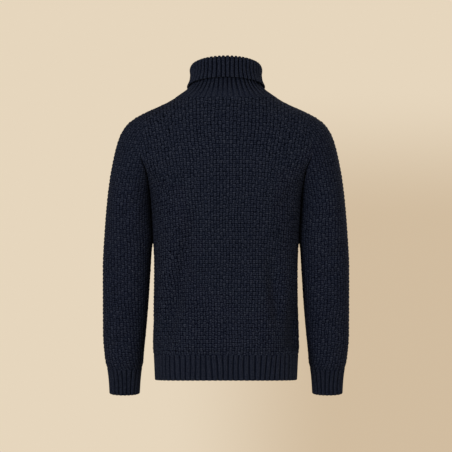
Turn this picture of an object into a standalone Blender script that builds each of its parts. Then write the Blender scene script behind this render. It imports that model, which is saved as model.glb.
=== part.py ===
"""Roll-neck sweater, filled out as worn with the arms hanging, with no wearer inside.

The wearer faces +Y and the back of the sweater faces -Y. +Z is up, and the origin is the middle of the neck base,
level with the shoulders, where the wearer's shoulders carry the garment. Tables are in millimetres.

Every cloth piece is an open surface through level sections of one worn form, thickened inwards by Solidify:
back, front, two set-in sleeves, the rib of the hem in two halves, two rib cuffs and one rib collar that folds over.
"""

import math
from collections import namedtuple

import bmesh
import bpy
import numpy as np

MM = 0.001

# Cloth and seams
WALL = 4.0
RIB_WALL = 4.5
SEAM_GAP = 0.4
SELVEDGE = 1.2

# Heights of the seams and edges. The crease between arm and side starts at the yoke line and is at its full
# depth at the underarm.
NECK_SIDE = -6.0
NECK_BACK = -8.0
NECK_FRONT = -65.0
SHOULDER_TIP = -41.0
YOKE = -135.0
UNDERARM = -262.0
HEM_SEAM = -622.0
HEM_EDGE = -683.0
CUFF_SEAM = -656.0
CUFF_EDGE = -719.0

# The cloth pulls in over this height above its ribs
BLOUSE = 16.0

# The hem rides up in the middle, by an arch that fades in below the waist
HEM_LIFT = 4.5
LIFT_TOP = -470.0
LIFT_FADE = 150.0

# How full the level sections are: 2 gives an ellipse, and more a squarer form
SHOULDER_POWER = 2.0
CHEST_POWER = 2.5
SIDE_POWER = 2.7
ARM_POWER = 2.3

# Outer reach of the sleeves, and of the shoulders above them
Reach = namedtuple("Reach", "height half_width")
REACH = (
    Reach(4, 106),
    Reach(-3, 117),
    Reach(-6, 121.5),
    Reach(-10, 128),
    Reach(-17, 140),
    Reach(-26, 158.5),
    Reach(-41, 192),
    Reach(-55, 218),
    Reach(-70, 237),
    Reach(-84, 247.5),
    Reach(-98, 255),
    Reach(-127, 264.5),
    Reach(-156, 271),
    Reach(-199, 279),
    Reach(-257, 286),
    Reach(-329, 292),
    Reach(-415, 296.5),
    Reach(-574, 297),
    Reach(-617, 294.5),
    Reach(-645, 291),
    Reach(-656, 287.5),
    Reach(-690, 283.5),
    Reach(-720, 282),
)

# How far the body stands out behind and in front of the plane of the shoulders
Depth = namedtuple("Depth", "height back front")
DEPTH = (
    Depth(4, 64, 66),
    Depth(-6, 68, 72),
    Depth(-41, 86, 84),
    Depth(-70, 97, 94),
    Depth(-100, 105, 104),
    Depth(-156, 114, 118),
    Depth(-262, 118, 127),
    Depth(-400, 108, 123.6),
    Depth(-530, 113, 119.7),
    Depth(-604, 118, 119),
    Depth(-622, 115, 116),
    Depth(-683, 112, 113),
)

# Line where the body ends: the armhole from the tip of the shoulder to the underarm, and below it the side seam
Side = namedtuple("Side", "height half_width")
SIDE = (
    Side(-41, 192),
    Side(-135, 203),
    Side(-150, 202),
    Side(-163, 198),
    Side(-180, 190.5),
    Side(-206, 185.5),
    Side(-262, 180.5),
    Side(-330, 176),
    Side(-400, 172.5),
    Side(-444, 172),
    Side(-530, 173.5),
    Side(-604, 175.5),
    Side(-622, 173.5),
    Side(-683, 170.5),
)

# The sleeve below the underarm: its side towards the body, its middle, which bends forward at the elbow,
# its half depth, and how far its level sections tip down behind as the forearm leans
Arm = namedtuple("Arm", "height inner middle half_depth tip")
ARM = (
    Arm(-130, 203, 0, 70, 0),
    Arm(-262, 180.8, 0, 74, 0),
    Arm(-300, 178.9, 0, 71, 0),
    Arm(-330, 177.0, 1, 68, 0),
    Arm(-350, 176.2, 2, 66, 0),
    Arm(-372, 177.5, 3, 64, 0),
    Arm(-444, 182, 8, 60, 0.02),
    Arm(-502, 186, 14, 57, 0.05),
    Arm(-559, 191, 22, 53, 0.08),
    Arm(-617, 197, 31, 49, 0.1),
    Arm(-645, 199.5, 36, 46, 0.1),
    Arm(-656, 202.5, 38, 43, 0.1),
    Arm(-690, 206.5, 43, 38, 0.1),
    Arm(-720, 208.5, 47, 36, 0.1),
)

# The flare of the collar's stand: shares of the way in and up from the neck seam to the first ring below
Flare = namedtuple("Flare", "way_in way_up")
FLARE = (
    Flare(0.36, 0.30),
    Flare(0.70, 0.60),
)

# Rings of the collar up the stand, over the fold and down the turnover. They give the strip's hidden side, which
# faces the neighbouring layer: the stand is thick to the inside, the turnover to the outside.
Ring = namedtuple("Ring", "half_width back front back_height side_height front_height")
COLLAR = (
    Ring(85, -52, 87, 33, 24, -18),
    Ring(77.5, -46, 84.5, 54, 38, 4),
    Ring(73.5, -41.5, 81.5, 75, 56, 28),
    Ring(74.5, -41.5, 82, 84.5, 64, 38.5),
    Ring(78.5, -44.5, 86, 87.5, 67.5, 42),
    Ring(80.5, -47.5, 89, 84, 64, 38.5),
    Ring(80.3, -49, 89.5, 68, 47, 22),
    Ring(82.5, -52, 91.5, 54, 31.5, 7.5),
    Ring(87, -56.5, 96, 41, 19, -5),
)

# Mesh steps
NECK_COLUMNS = 14
SHOULDER_COLUMNS = 3
SLEEVE_COLUMNS = 14
YOKE_ROWS = 8
CREASE_ROWS = 6
LOWER_ROWS = 7
SECTION_SAMPLES = 240

NAVY = (0.0105, 0.0120, 0.0225, 1.0)
NAVY_RIB = (0.0100, 0.0118, 0.0235, 1.0)


def along(table, column, height):
    """One column of a table at any height, on cubic arcs that keep the rise and fall of its rows."""
    rows = sorted(table)
    places = np.array([row.height for row in rows], float)
    values = np.array([getattr(row, column) for row in rows], float)
    steps = np.diff(places)
    slopes = np.diff(values) / steps
    turns = slopes[:-1] * slopes[1:]
    sums = np.where(turns > 0, slopes[:-1] + slopes[1:], 1.0)
    inner = np.where(turns > 0, 2 * turns / sums, 0.0)
    tangents = np.concatenate([slopes[:1], inner, slopes[-1:]])
    at = np.clip(np.asarray(height, float), places[0], places[-1])
    k = np.clip(np.searchsorted(places, at, side="right") - 1, 0, len(steps) - 1)
    t = (at - places[k]) / steps[k]
    start = (1 + 2 * t) * (1 - t) ** 2 * values[k] + t * (1 - t) ** 2 * steps[k] * tangents[k]
    end = t * t * (3 - 2 * t) * values[k + 1] + t * t * (t - 1) * steps[k] * tangents[k + 1]
    return start + end


def bulge(share, power):
    """Height of a rounded arch, 1 in the middle and 0 where share reaches 1."""
    return (1 - np.clip(np.abs(share), 0, 1) ** power) ** (1 / power)


def crease(height):
    """0 where the cloth runs smoothly from back to sleeve, 1 where the arm has parted from the side."""
    share = np.clip((YOKE - np.asarray(height, float)) / (YOKE - UNDERARM), 0, 1)
    return share * share * (3 - 2 * share)


def side(height):
    """Half width of the body at its armhole or side seam; the armhole runs straight down to the yoke line."""
    straight = np.interp(height, (YOKE, SHOULDER_TIP), (SIDE[1].half_width, SIDE[0].half_width))
    return np.where(np.asarray(height) > YOKE, straight, along(SIDE, "half_width", height))


def whole_depth(x, height, face):
    """Distance from the shoulder plane of back (face -1) or front (face 1), shoulders and arms as one form."""
    power = SHOULDER_POWER + (CHEST_POWER - SHOULDER_POWER) * np.clip((SHOULDER_TIP - height) / 120, 0, 1)
    depth = along(DEPTH, "front" if face > 0 else "back", height)
    return depth * bulge(x / along(REACH, "half_width", height), power)


def body_y(x, height, face):
    """The body's own surface: it turns in to the armhole as the crease deepens, and closes at the side seam."""
    depth = along(DEPTH, "front" if face > 0 else "back", height)
    alone = depth * bulge(x / side(height), SIDE_POWER)
    part = crease(height)
    return face * ((1 - part) * whole_depth(x, height, face) + part * alone)


def sleeve_inner(height):
    """Side of the sleeve towards the body: the armhole, and below the underarm the tube's own side."""
    return np.where(np.asarray(height) > UNDERARM, side(height), along(ARM, "inner", height))


def sleeve_y(x, height, face):
    """The sleeve's own surface, from the armhole round the outside of the arm."""
    inner = sleeve_inner(height)
    outer = along(REACH, "half_width", height)
    share = (x - (inner + outer) / 2) / ((outer - inner) / 2)
    alone = along(ARM, "half_depth", height) * bulge(share, ARM_POWER)
    part = crease(height)
    middle = along(ARM, "middle", height)
    return middle + face * ((1 - part) * whole_depth(x, height, face) + part * alone)


def lengths_along(points):
    """Length from the first point of a section to each of its points."""
    return np.concatenate([[0], np.cumsum(np.linalg.norm(np.diff(points, axis=0), axis=1))])


def placed(points, lengths):
    """Points of a section at the given lengths along it."""
    measure = lengths_along(points)
    return np.stack([np.interp(lengths, measure, points[:, axis]) for axis in range(3)], axis=1)


def neckline(angle, face):
    """The neck seam, an oval on the body's surface; angle runs from the middle (0) to the shoulder (90 degrees)."""
    neck = NECK_FRONT if face > 0 else NECK_BACK
    height = NECK_SIDE + (neck - NECK_SIDE) * np.cos(angle)
    x = along(REACH, "half_width", NECK_SIDE) * np.sin(angle)
    return np.stack([x, body_y(x, height, face), height], axis=1)


def shoulder_line(x, face):
    """The shoulder seam on the ridge between back and front, half a seam gap off the middle."""
    heights = np.linspace(SHOULDER_TIP, NECK_SIDE, SECTION_SAMPLES)
    ridge = np.interp(-np.abs(x), -along(REACH, "half_width", heights), heights)
    return np.stack([x, np.full_like(x, face * SEAM_GAP / 2), ridge], axis=1)


def top_edge(face):
    """The upper edge of back or front: shoulder seam, neckline and shoulder seam, from the wearer's left."""
    neck_width = float(along(REACH, "half_width", NECK_SIDE))
    tip = SIDE[0].half_width - SEAM_GAP / 2
    steps = np.linspace(neck_width, tip - SELVEDGE, SHOULDER_COLUMNS + 1)[1:]
    right = shoulder_line(np.array([*steps, tip]), face)
    angle = np.linspace(-math.pi / 2, math.pi / 2, NECK_COLUMNS + 1)
    middle = neckline(angle, face)
    middle[[0, -1], 1] = face * SEAM_GAP / 2
    return np.concatenate([right[::-1] * (-1, 1, 1), middle, right])


def body_section(height, face):
    """A section of back or front, from the wearer's left edge to the right, level but for the lift of the hem."""
    angle = np.linspace(-math.pi / 2, math.pi / 2, 2 * SECTION_SAMPLES + 1)
    x = side(height) * np.sin(angle)
    y = body_y(x, height, face)
    lift = HEM_LIFT * np.clip((LIFT_TOP - height) / LIFT_FADE, 0, 1)
    return np.stack([x, y, height + lift * np.cos(angle)], axis=1)


def body_row(height, face, shares):
    """Points of a level section at shares of its width, with a narrow selvedge step at each edge."""
    section = body_section(height, face)
    half = lengths_along(section)[-1] / 2
    even = np.linspace(-1, 1, len(shares))
    ease = float(np.clip((YOKE - height) / (YOKE - UNDERARM), 0, 1))
    steps = (shares + (even - shares) * ease) * (half - SEAM_GAP / 2 - SELVEDGE)
    edge = half - SEAM_GAP / 2
    return placed(section, half + np.concatenate([[-edge], steps, [edge]]))


def body_rows(heights, face):
    """Level rows of back or front with the columns that the top edge asks for."""
    top = top_edge(face)
    shares = top[1:-1, 0] / top[-2, 0]
    return [body_row(height, face, shares) for height in heights]


def yoke_heights(top):
    """Heights from the yoke line up to a point of the top edge, crowding towards it, with a narrow last step."""
    shares = np.array([*np.arange(YOKE_ROWS - 1, 0, -1) / YOKE_ROWS, 1 / YOKE_ROWS**2, 0]) ** 2
    return top + (YOKE - top) * shares


def yoke_rows(yoke, face):
    """Rows from the yoke line up to the shoulder seams and the neckline."""
    top = top_edge(face)
    heights = np.stack([yoke_heights(height) for height in top[:, 2]], axis=1)
    rows = []
    for level in heights:
        share = (level - top[:, 2]) / (YOKE - top[:, 2])
        x = top[:, 0] + (yoke[:, 0] - top[:, 0]) * share
        y = body_y(x, level, face)
        rows.append(np.stack([x, face * np.maximum(np.abs(y), SEAM_GAP / 2), level], axis=1))
    return rows


def sleeve_section(height):
    """A level section of the sleeve on the +X side, from the armhole behind round the outside to the one in front."""
    inner = float(sleeve_inner(height))
    outer = float(along(REACH, "half_width", height))
    turn = np.linspace(0, math.pi, SECTION_SAMPLES + 1)
    x = inner + (outer - inner) * (1 - np.cos(turn)) / 2
    y = np.concatenate([sleeve_y(x, height, -1), sleeve_y(x, height, 1)[-2::-1]])
    tip = along(ARM, "tip", height) * (y - along(ARM, "middle", height))
    return np.stack([np.concatenate([x, x[-2::-1]]), y, height + tip], axis=1)


def sleeve_row(height):
    """Points round the sleeve: a selvedge step at each armhole, or an even closed ring below the underarm."""
    section = sleeve_section(height)
    measure = lengths_along(section)
    whole = measure[-1]
    if height <= UNDERARM:
        return placed(section, np.linspace(0, whole, SLEEVE_COLUMNS + 3))
    count = SECTION_SAMPLES
    border = np.interp(section[0, 0] + SELVEDGE, section[:count, 0], measure[:count])
    border = min(max(border, SELVEDGE), whole / (SLEEVE_COLUMNS + 2))
    trim = min(SEAM_GAP / 2, whole / 9)
    inner = np.linspace(trim + border, whole - trim - border, SLEEVE_COLUMNS + 1)
    return placed(section, np.concatenate([[trim], inner, [whole - trim]]))


def surface(name, rows, closed=False):
    """A quad grid through rows of points in millimetres; closed joins the two ends of each row."""
    mesh = bpy.data.meshes.new(name)
    form = bmesh.new()
    grid = [[form.verts.new(point * MM) for point in row] for row in rows]
    count = len(grid[0])
    for below, above in zip(grid, grid[1:]):
        for k in range(count if closed else count - 1):
            after = (k + 1) % count
            form.faces.new((below[k], below[after], above[after], above[k]))
    bmesh.ops.remove_doubles(form, verts=form.verts, dist=0.01 * MM)
    form.to_mesh(mesh)
    form.free()
    mesh.shade_smooth()
    return bpy.data.objects.new(name, mesh)


def thicken(piece, wall):
    """Turns the outer surface into a cloth wall that lies inside it."""
    solid = piece.modifiers.new("wall", "SOLIDIFY")
    solid.thickness = wall * MM
    solid.offset = -1
    solid.use_quality_normals = True
    return piece


def finish(name, colour, roughness):
    """A plain material in the cloth's colour."""
    material = bpy.data.materials.new(name)
    material.use_nodes = True
    shader = material.node_tree.nodes["Principled BSDF"]
    shader.inputs["Base Color"].default_value = colour
    shader.inputs["Roughness"].default_value = roughness
    material.diffuse_color = colour
    return material


def turned(rows, face):
    """Rows in the order that makes the surface face out."""
    return rows[::-1] if face > 0 else rows


def body_panel(name, face):
    """Back or front, from the hem seam up to the neckline, shoulder seams and armholes."""
    below = [HEM_SEAM + SEAM_GAP / 2, *np.linspace(HEM_SEAM + BLOUSE, UNDERARM, LOWER_ROWS + 1)]
    crease_heights = np.linspace(UNDERARM, YOKE, CREASE_ROWS + 1)[1:]
    level = body_rows([*below, *crease_heights], face)
    rows = level + yoke_rows(level[-1], face)
    return thicken(surface(name, turned(rows, face)), WALL)


def hem_half(name, face):
    """Half of the hem rib, from side seam to side seam."""
    heights = np.linspace(HEM_EDGE, HEM_SEAM - SEAM_GAP / 2, 3)
    return thicken(surface(name, turned(body_rows(heights, face), face)), RIB_WALL)


def mirrored(rows, hand):
    """Rows of the sleeve on the +X side, carried to the other side and turned so that they still face out."""
    if hand > 0:
        return rows[::-1]
    return [row * (-1, 1, 1) for row in rows]


def sleeve(name, hand):
    """A set-in sleeve: an arc from armhole to armhole at the top, a closed tube below the underarm."""
    above = [SHOULDER_TIP - SEAM_GAP, *yoke_heights(SHOULDER_TIP)[-3::-1]]
    crease_heights = np.linspace(YOKE, UNDERARM, CREASE_ROWS + 1)
    below = np.linspace(UNDERARM, CUFF_SEAM + BLOUSE, LOWER_ROWS + 1)[1:]
    heights = [*above, *crease_heights, *below, CUFF_SEAM + SEAM_GAP / 2]
    rows = [sleeve_row(height) for height in heights]
    return thicken(surface(name, mirrored(rows, hand)), WALL)


def cuff(name, hand):
    """The rib tube below the sleeve."""
    heights = np.linspace(CUFF_SEAM - SEAM_GAP / 2, CUFF_EDGE, 3)
    rows = [sleeve_row(height) for height in heights]
    return thicken(surface(name, mirrored(rows, hand)), RIB_WALL)


def collar_ring(ring, angle):
    """An oval ring that leans: its height runs from back over the sides to the front."""
    ahead = -np.cos(angle)
    x = ring.half_width * np.sin(angle)
    y = (ring.back + ring.front) / 2 + (ring.front - ring.back) / 2 * ahead
    end = np.where(ahead > 0, ring.front_height, ring.back_height)
    return np.stack([x, y, ring.side_height + (end - ring.side_height) * np.abs(ahead)], axis=1)


def collar(name):
    """The stand and the turnover in one strip: it flares onto the neckline below and folds over at the top."""
    angle = np.linspace(-math.pi / 2, math.pi / 2, NECK_COLUMNS + 1)
    seam = np.concatenate([neckline(angle, -1), neckline(angle, 1)[-2:0:-1]])
    round_neck = np.linspace(-math.pi / 2, 1.5 * math.pi, 2 * NECK_COLUMNS + 1)[:-1]
    rings = [collar_ring(ring, round_neck) for ring in COLLAR]
    flare = [seam + (rings[0] - seam) * (step.way_in, step.way_in, step.way_up) for step in FLARE]
    first = flare[0] - seam
    start = seam + SEAM_GAP * first / np.linalg.norm(first, axis=1, keepdims=True)
    return thicken(surface(name, [start, *flare, *rings], closed=True), RIB_WALL)


def clear_scene():
    for thing in list(bpy.data.objects):
        bpy.data.objects.remove(thing, do_unlink=True)


def build():
    clear_scene()
    parts = bpy.data.collections.new("roll_neck_sweater")
    bpy.context.scene.collection.children.link(parts)
    knit = finish("basket_knit", NAVY, 0.85)
    rib = finish("rib_knit", NAVY_RIB, 0.85)
    pieces = [
        (body_panel("back", -1), knit),
        (body_panel("front", 1), knit),
        (sleeve("sleeve_left", -1), knit),
        (sleeve("sleeve_right", 1), knit),
        (hem_half("hem_rib_back", -1), rib),
        (hem_half("hem_rib_front", 1), rib),
        (cuff("cuff_left", -1), rib),
        (cuff("cuff_right", 1), rib),
        (collar("collar"), rib),
    ]
    for piece, material in pieces:
        piece.data.materials.append(material)
        parts.objects.link(piece)


build()
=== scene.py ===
# %% [markdown]
# # A roll-neck sweater in basket knit
#
# The packed part gives the sweater's solids: back, front, two sleeves, hem, cuffs and collar. Here each
# of them gets a thin knitted skin on the same form, with its stitches in relief, and then come yarn,
# light and a camera. Modifiers on the solids could do some of this, but their stitches would follow the
# solids' facets. Meshes made row by row follow the cloth. The wearer faces +Y, so the back looks at the
# camera. The form is worked out in millimetres, and the meshes are made in metres.

import math
from collections import namedtuple

import bpy
import numpy as np
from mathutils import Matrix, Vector


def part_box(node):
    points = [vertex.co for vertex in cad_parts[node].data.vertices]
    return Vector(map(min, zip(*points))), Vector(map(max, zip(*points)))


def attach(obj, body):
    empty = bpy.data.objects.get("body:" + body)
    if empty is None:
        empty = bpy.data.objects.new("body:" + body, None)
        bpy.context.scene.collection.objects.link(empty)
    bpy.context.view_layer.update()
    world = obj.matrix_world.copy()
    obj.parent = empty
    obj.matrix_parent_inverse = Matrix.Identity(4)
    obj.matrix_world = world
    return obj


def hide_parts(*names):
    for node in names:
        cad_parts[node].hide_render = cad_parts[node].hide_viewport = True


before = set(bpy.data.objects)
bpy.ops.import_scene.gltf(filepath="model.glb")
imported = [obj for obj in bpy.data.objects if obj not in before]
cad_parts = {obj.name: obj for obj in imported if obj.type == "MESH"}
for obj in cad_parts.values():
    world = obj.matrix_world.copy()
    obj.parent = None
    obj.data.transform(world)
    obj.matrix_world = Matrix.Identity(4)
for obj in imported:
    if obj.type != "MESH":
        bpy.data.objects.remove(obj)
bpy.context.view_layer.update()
print("solids:", ", ".join(sorted(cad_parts)))

# %% [markdown]
# ## The form
#
# A worn sweater has no flat panels: back, front and sleeves run round shoulders, trunk and arms. They
# could be sculpted, or draped over a figure by a cloth simulation, but both leave nothing to measure
# by. Here the form is level sections that change slowly from one height to the next. These are the same
# sizes that shape the solids, so the skin lies on them with nothing to fit. First come the heights
# where one piece meets the next, and the powers that make sections rounder or squarer.

# %%
# Heights and powers
MM = 0.001
RIB_WALL = 4.5

NECK_SIDE = -6.0
NECK_BACK = -8.0
NECK_FRONT = -65.0
SHOULDER_TIP = -41.0
YOKE = -135.0
UNDERARM = -262.0
HEM_SEAM = -622.0
HEM_EDGE = -683.0
CUFF_SEAM = -656.0
CUFF_EDGE = -719.0
HEM_LIFT = 4.5
LIFT_TOP = -470.0
LIFT_FADE = 150.0

SHOULDER_POWER = 2.0
CHEST_POWER = 2.5
POWER_FADE = 120.0
SIDE_POWER = 2.7
ARM_POWER = 2.3
print("below the neck: hem %.0f mm, cuffs %.0f mm" % (NECK_SIDE - HEM_EDGE, NECK_SIDE - CUFF_EDGE))

# %% [markdown]
# Four tables hold the form, one row for each height where something changes. REACH is how far it goes
# out to the side, arms included. DEPTH is how far it goes back and forward from the plane of the
# shoulders. SIDE is where the body ends at its armhole or side seam, and ARM is the tube of the sleeve.


# %%
# Tables of the form
def rows_of(columns, *rows):
    """A table: rows of numbers under the names of their columns."""
    Row = namedtuple("Row", columns)
    return [Row(*row) for row in rows]


REACH = rows_of(
    "height half_width",
    (4, 106),
    (-3, 117),
    (-6, 121.5),
    (-10, 128),
    (-17, 140),
    (-26, 158.5),
    (-41, 192),
    (-55, 218),
    (-70, 237),
    (-84, 247.5),
    (-98, 255),
    (-127, 264.5),
    (-156, 271),
    (-199, 279),
    (-257, 286),
    (-329, 292),
    (-415, 296.5),
    (-574, 297),
    (-617, 294.5),
    (-645, 291),
    (-656, 287.5),
    (-690, 283.5),
    (-720, 282),
)

DEPTH = rows_of(
    "height back front",
    (4, 64, 66),
    (-6, 68, 72),
    (-41, 86, 84),
    (-70, 97, 94),
    (-100, 105, 104),
    (-156, 114, 118),
    (-262, 118, 127),
    (-400, 108, 123.6),
    (-530, 113, 119.7),
    (-604, 118, 119),
    (-622, 115, 116),
    (-683, 112, 113),
)

SIDE = rows_of(
    "height half_width",
    (-41, 192),
    (-135, 203),
    (-150, 202),
    (-163, 198),
    (-180, 190.5),
    (-206, 185.5),
    (-262, 180.5),
    (-330, 176),
    (-400, 172.5),
    (-444, 172),
    (-530, 173.5),
    (-604, 175.5),
    (-622, 173.5),
    (-683, 170.5),
)

ARM = rows_of(
    "height inner middle half_depth tip",
    (-130, 203, 0, 70, 0),
    (-262, 180.8, 0, 74, 0),
    (-300, 178.9, 0, 71, 0),
    (-330, 177.0, 1, 68, 0),
    (-350, 176.2, 2, 66, 0),
    (-372, 177.5, 3, 64, 0),
    (-444, 182, 8, 60, 0.02),
    (-502, 186, 14, 57, 0.05),
    (-559, 191, 22, 53, 0.08),
    (-617, 197, 31, 49, 0.1),
    (-645, 199.5, 36, 46, 0.1),
    (-656, 202.5, 38, 43, 0.1),
    (-690, 206.5, 43, 38, 0.1),
    (-720, 208.5, 47, 36, 0.1),
)
print("rows:", len(REACH), "of reach,", len(DEPTH), "of depth,", len(SIDE), "of side and", len(ARM), "of arm")

# %% [markdown]
# Straight lines between rows would show as facets in soft cloth, and an ordinary spline swings out
# beside a steep row. So the tables are read on cubic arcs that keep their rise and fall, and no bump
# appears between two rows.


# %%
# Reading the tables
def cubic(t, gap, low, high, low_slope, high_slope):
    """A value on the cubic arc over a gap, at share t of it, from the values and slopes at its ends."""
    start = (1 + 2 * t) * (1 - t) ** 2 * low + t * (1 - t) ** 2 * gap * low_slope
    return start + t * t * (3 - 2 * t) * high + t * t * (t - 1) * gap * high_slope


def along(table, column, height):
    """One column of a table at any height, on cubic arcs that keep the rise and fall of its rows."""
    rows = sorted(table)
    places = np.array([row.height for row in rows], float)
    values = np.array([getattr(row, column) for row in rows], float)
    steps = np.diff(places)
    slopes = np.diff(values) / steps
    turns = slopes[:-1] * slopes[1:]
    sums = np.where(turns > 0, slopes[:-1] + slopes[1:], 1.0)
    inner = np.where(turns > 0, 2 * turns / sums, 0.0)
    tangents = np.concatenate([slopes[:1], inner, slopes[-1:]])
    at = np.clip(np.asarray(height, float), places[0], places[-1])
    k = np.clip(np.searchsorted(places, at, side="right") - 1, 0, len(steps) - 1)
    t = (at - places[k]) / steps[k]
    return cubic(t, steps[k], values[k], values[k + 1], tangents[k], tangents[k + 1])


def smooth(value, low, high):
    """0 below low, 1 above high, with a soft start and end."""
    share = np.clip((value - low) / (high - low), 0, 1)
    return share * share * (3 - 2 * share)


widest = max(REACH, key=lambda row: row.half_width)
print("widest at %.0f mm, with %.0f mm to each side" % (widest.height, widest.half_width))

# %% [markdown]
# A level section through a worn sweater is an oval over the shoulders and squarer round the chest. A
# superellipse makes both from one formula: at a power of 2 it is an oval, and a higher power makes it
# squarer. Down from the yoke line the arm parts from the side, and the crease deepens as far as the
# underarm, so one shared section gives way bit by bit to a body and a sleeve of their own.


# %%
# Sections
def bulge(share, power):
    """Height of a rounded arch, 1 in the middle and 0 where share reaches 1."""
    return (1 - np.clip(np.abs(share), 0, 1) ** power) ** (1 / power)


def crease(height):
    """0 where the cloth runs smoothly from back to sleeve, 1 where the arm has parted from the side."""
    return smooth(-np.asarray(height, float), -YOKE, -UNDERARM)


def side(height):
    """Half width of the body at its armhole or side seam."""
    straight = np.interp(height, (YOKE, SHOULDER_TIP), (SIDE[1].half_width, SIDE[0].half_width))
    return np.where(np.asarray(height) > YOKE, straight, along(SIDE, "half_width", height))


def half_depth(height, face):
    """How far the form goes back (face -1) or forward (face 1) from the plane of the shoulders."""
    return along(DEPTH, "front" if face > 0 else "back", height)


def whole_depth(x, height, face):
    """Depth at a half width, with shoulders and arms as one form."""
    lower = np.clip((SHOULDER_TIP - height) / POWER_FADE, 0, 1)
    power = SHOULDER_POWER + (CHEST_POWER - SHOULDER_POWER) * lower
    return half_depth(height, face) * bulge(x / along(REACH, "half_width", height), power)


def body_y(x, height, face):
    """The body's surface: it turns in to the armhole as the crease deepens, and closes at the side."""
    alone = half_depth(height, face) * bulge(x / side(height), SIDE_POWER)
    part = crease(height)
    return face * ((1 - part) * whole_depth(x, height, face) + part * alone)


def sleeve_inner(height):
    """Side of the sleeve towards the body: the armhole, and below the underarm the tube's own side."""
    return np.where(np.asarray(height) > UNDERARM, side(height), along(ARM, "inner", height))


def sleeve_y(x, height, face):
    """The sleeve's own surface, from the armhole round the outside of the arm."""
    inner = sleeve_inner(height)
    outer = along(REACH, "half_width", height)
    share = (x - (inner + outer) / 2) / np.maximum((outer - inner) / 2, 1e-6)
    alone = along(ARM, "half_depth", height) * bulge(share, ARM_POWER)
    part = crease(height)
    depth = (1 - part) * whole_depth(x, height, face) + part * alone
    return along(ARM, "middle", height) + face * depth


def neckline(angle, face):
    """The neck seam, an oval on the body; angle runs from the middle (0) to the shoulder (90 degrees)."""
    neck = NECK_FRONT if face > 0 else NECK_BACK
    height = NECK_SIDE + (neck - NECK_SIDE) * np.cos(angle)
    x = along(REACH, "half_width", NECK_SIDE) * np.sin(angle)
    return np.stack([x, body_y(x, height, face), height], axis=-1)


underarm_reach = side(UNDERARM), along(REACH, "half_width", UNDERARM)
print("at the underarm, body to %.0f mm and sleeve to %.0f mm from the middle" % underarm_reach)

# %% [markdown]
# ## Knitted cloth as a grid
#
# Knitting grows in wales (columns of stitches) and courses (rows). It could be a picture on smooth
# cloth, which is flat from near, or thousands of separate loops, which are too heavy for a whole
# sweater. Here each mesh is a grid: one coordinate counts wales and the other courses, every point sits
# where its stitch does, and the same counts serve as its UV map. Where a panel is cut to an armhole, a
# neckline or a seam, wales simply end there, as they do on a fully fashioned panel. The grid's points
# beyond the edge are moved onto it, and the faces that collapse are left out.


# %%
# From grid to mesh
def lengths(points):
    """Length along the first axis of a grid of points, from its first row."""
    steps = np.linalg.norm(np.diff(points, axis=0), axis=-1)
    return np.concatenate([np.zeros((1, *steps.shape[1:])), np.cumsum(steps, axis=0)])


def cells(grid):
    """The four corners of every cell of a grid, one row of four for each cell."""
    corners = np.stack([grid[:-1, :-1], grid[:-1, 1:], grid[1:, 1:], grid[1:, :-1]], axis=2)
    return corners.reshape(-1, 4, *grid.shape[2:])


def cloth(name, points, stitches, outside=None, closed=0, hollow=False, flip=False):
    """A mesh through a grid of points, with stitch counts as its UV map.

    closed joins its sides and is the number of stitches round; hollow joins its first row to its last.
    """
    rows, columns = points.shape[:2]
    index = np.arange(rows * columns).reshape(rows, columns)
    if closed:
        index = np.concatenate([index, index[:, :1]], axis=1)
        stitches = np.concatenate([stitches, stitches[:, :1] + (closed, 0)], axis=1)
    if hollow:
        index = np.concatenate([index, index[:1]])
        stitches = np.concatenate([stitches, stitches[:1]])
    quads, corners = cells(index), cells(stitches)
    if outside is not None:
        kept = ~outside.reshape(-1)[quads].all(axis=1)
        quads, corners = quads[kept], corners[kept]
    if flip:
        quads, corners = quads[:, ::-1], corners[:, ::-1]
    used, packed = np.unique(quads, return_inverse=True)
    mesh = bpy.data.meshes.new(name)
    mesh.from_pydata((points.reshape(-1, 3)[used] * MM).tolist(), [], packed.reshape(-1, 4).tolist())
    uv = mesh.uv_layers.new(name="stitches")
    uv.data.foreach_set("uv", corners.astype(np.float32).reshape(-1))
    mesh.shade_smooth()
    piece = bpy.data.objects.new(name, mesh)
    bpy.context.scene.collection.objects.link(piece)
    return piece, used


def raise_by(piece, heights):
    """Moves each point of a mesh along its normal, by heights in millimetres."""
    mesh = piece.data
    normals = np.empty(len(mesh.vertices) * 3, np.float32)
    mesh.vertex_normals.foreach_get("vector", normals)
    places = np.empty_like(normals)
    mesh.vertices.foreach_get("co", places)
    moved = places.reshape(-1, 3) + normals.reshape(-1, 3) * heights[:, None] * MM
    mesh.vertices.foreach_set("co", moved.astype(np.float32).reshape(-1))
    mesh.update()


def tell(*pieces):
    """Prints how many faces each piece has."""
    for piece in pieces:
        print(piece.name, len(piece.data.polygons), "faces")


print("a grid of 3 by 3 points has", len(cells(np.zeros((3, 3)))), "cells")

# %% [markdown]
# ## Basket stitch
#
# The body and sleeves are worked in blocks, one wide wale across and two courses high, knit and purl by
# turns, which stand out as small cushions with deep gaps round them. A bump in the finish alone would
# leave the outline smooth. On a real sweater a block is 7 to 8 mm wide and 9 to 10 mm high, large
# enough to be cut into the mesh: four points across it and five up. Knit blocks stand proud, and purl
# blocks lie lower with their bars across. Hand and machine both leave blocks uneven, so each one gets
# its own small share of height from a fixed pattern of numbers.

# %%
# Basket relief
BLOCK_WIDTH = 7.5
BLOCK_HEIGHT = 9.4
COURSES = 2
ACROSS = 4
UP = 5
CUSHION_POWER = 2.4
BASKET_RELIEF = 1.4
SEAM_RELIEF = 0.6
SEAM_WIDTH = 3.0


def uneven(a, b):
    """A repeatable scatter between 0 and 1 for each pair of whole numbers."""
    mixed = np.sin(a * 12.9898 + b * 78.233) * 43758.5453
    return mixed - np.floor(mixed)


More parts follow.
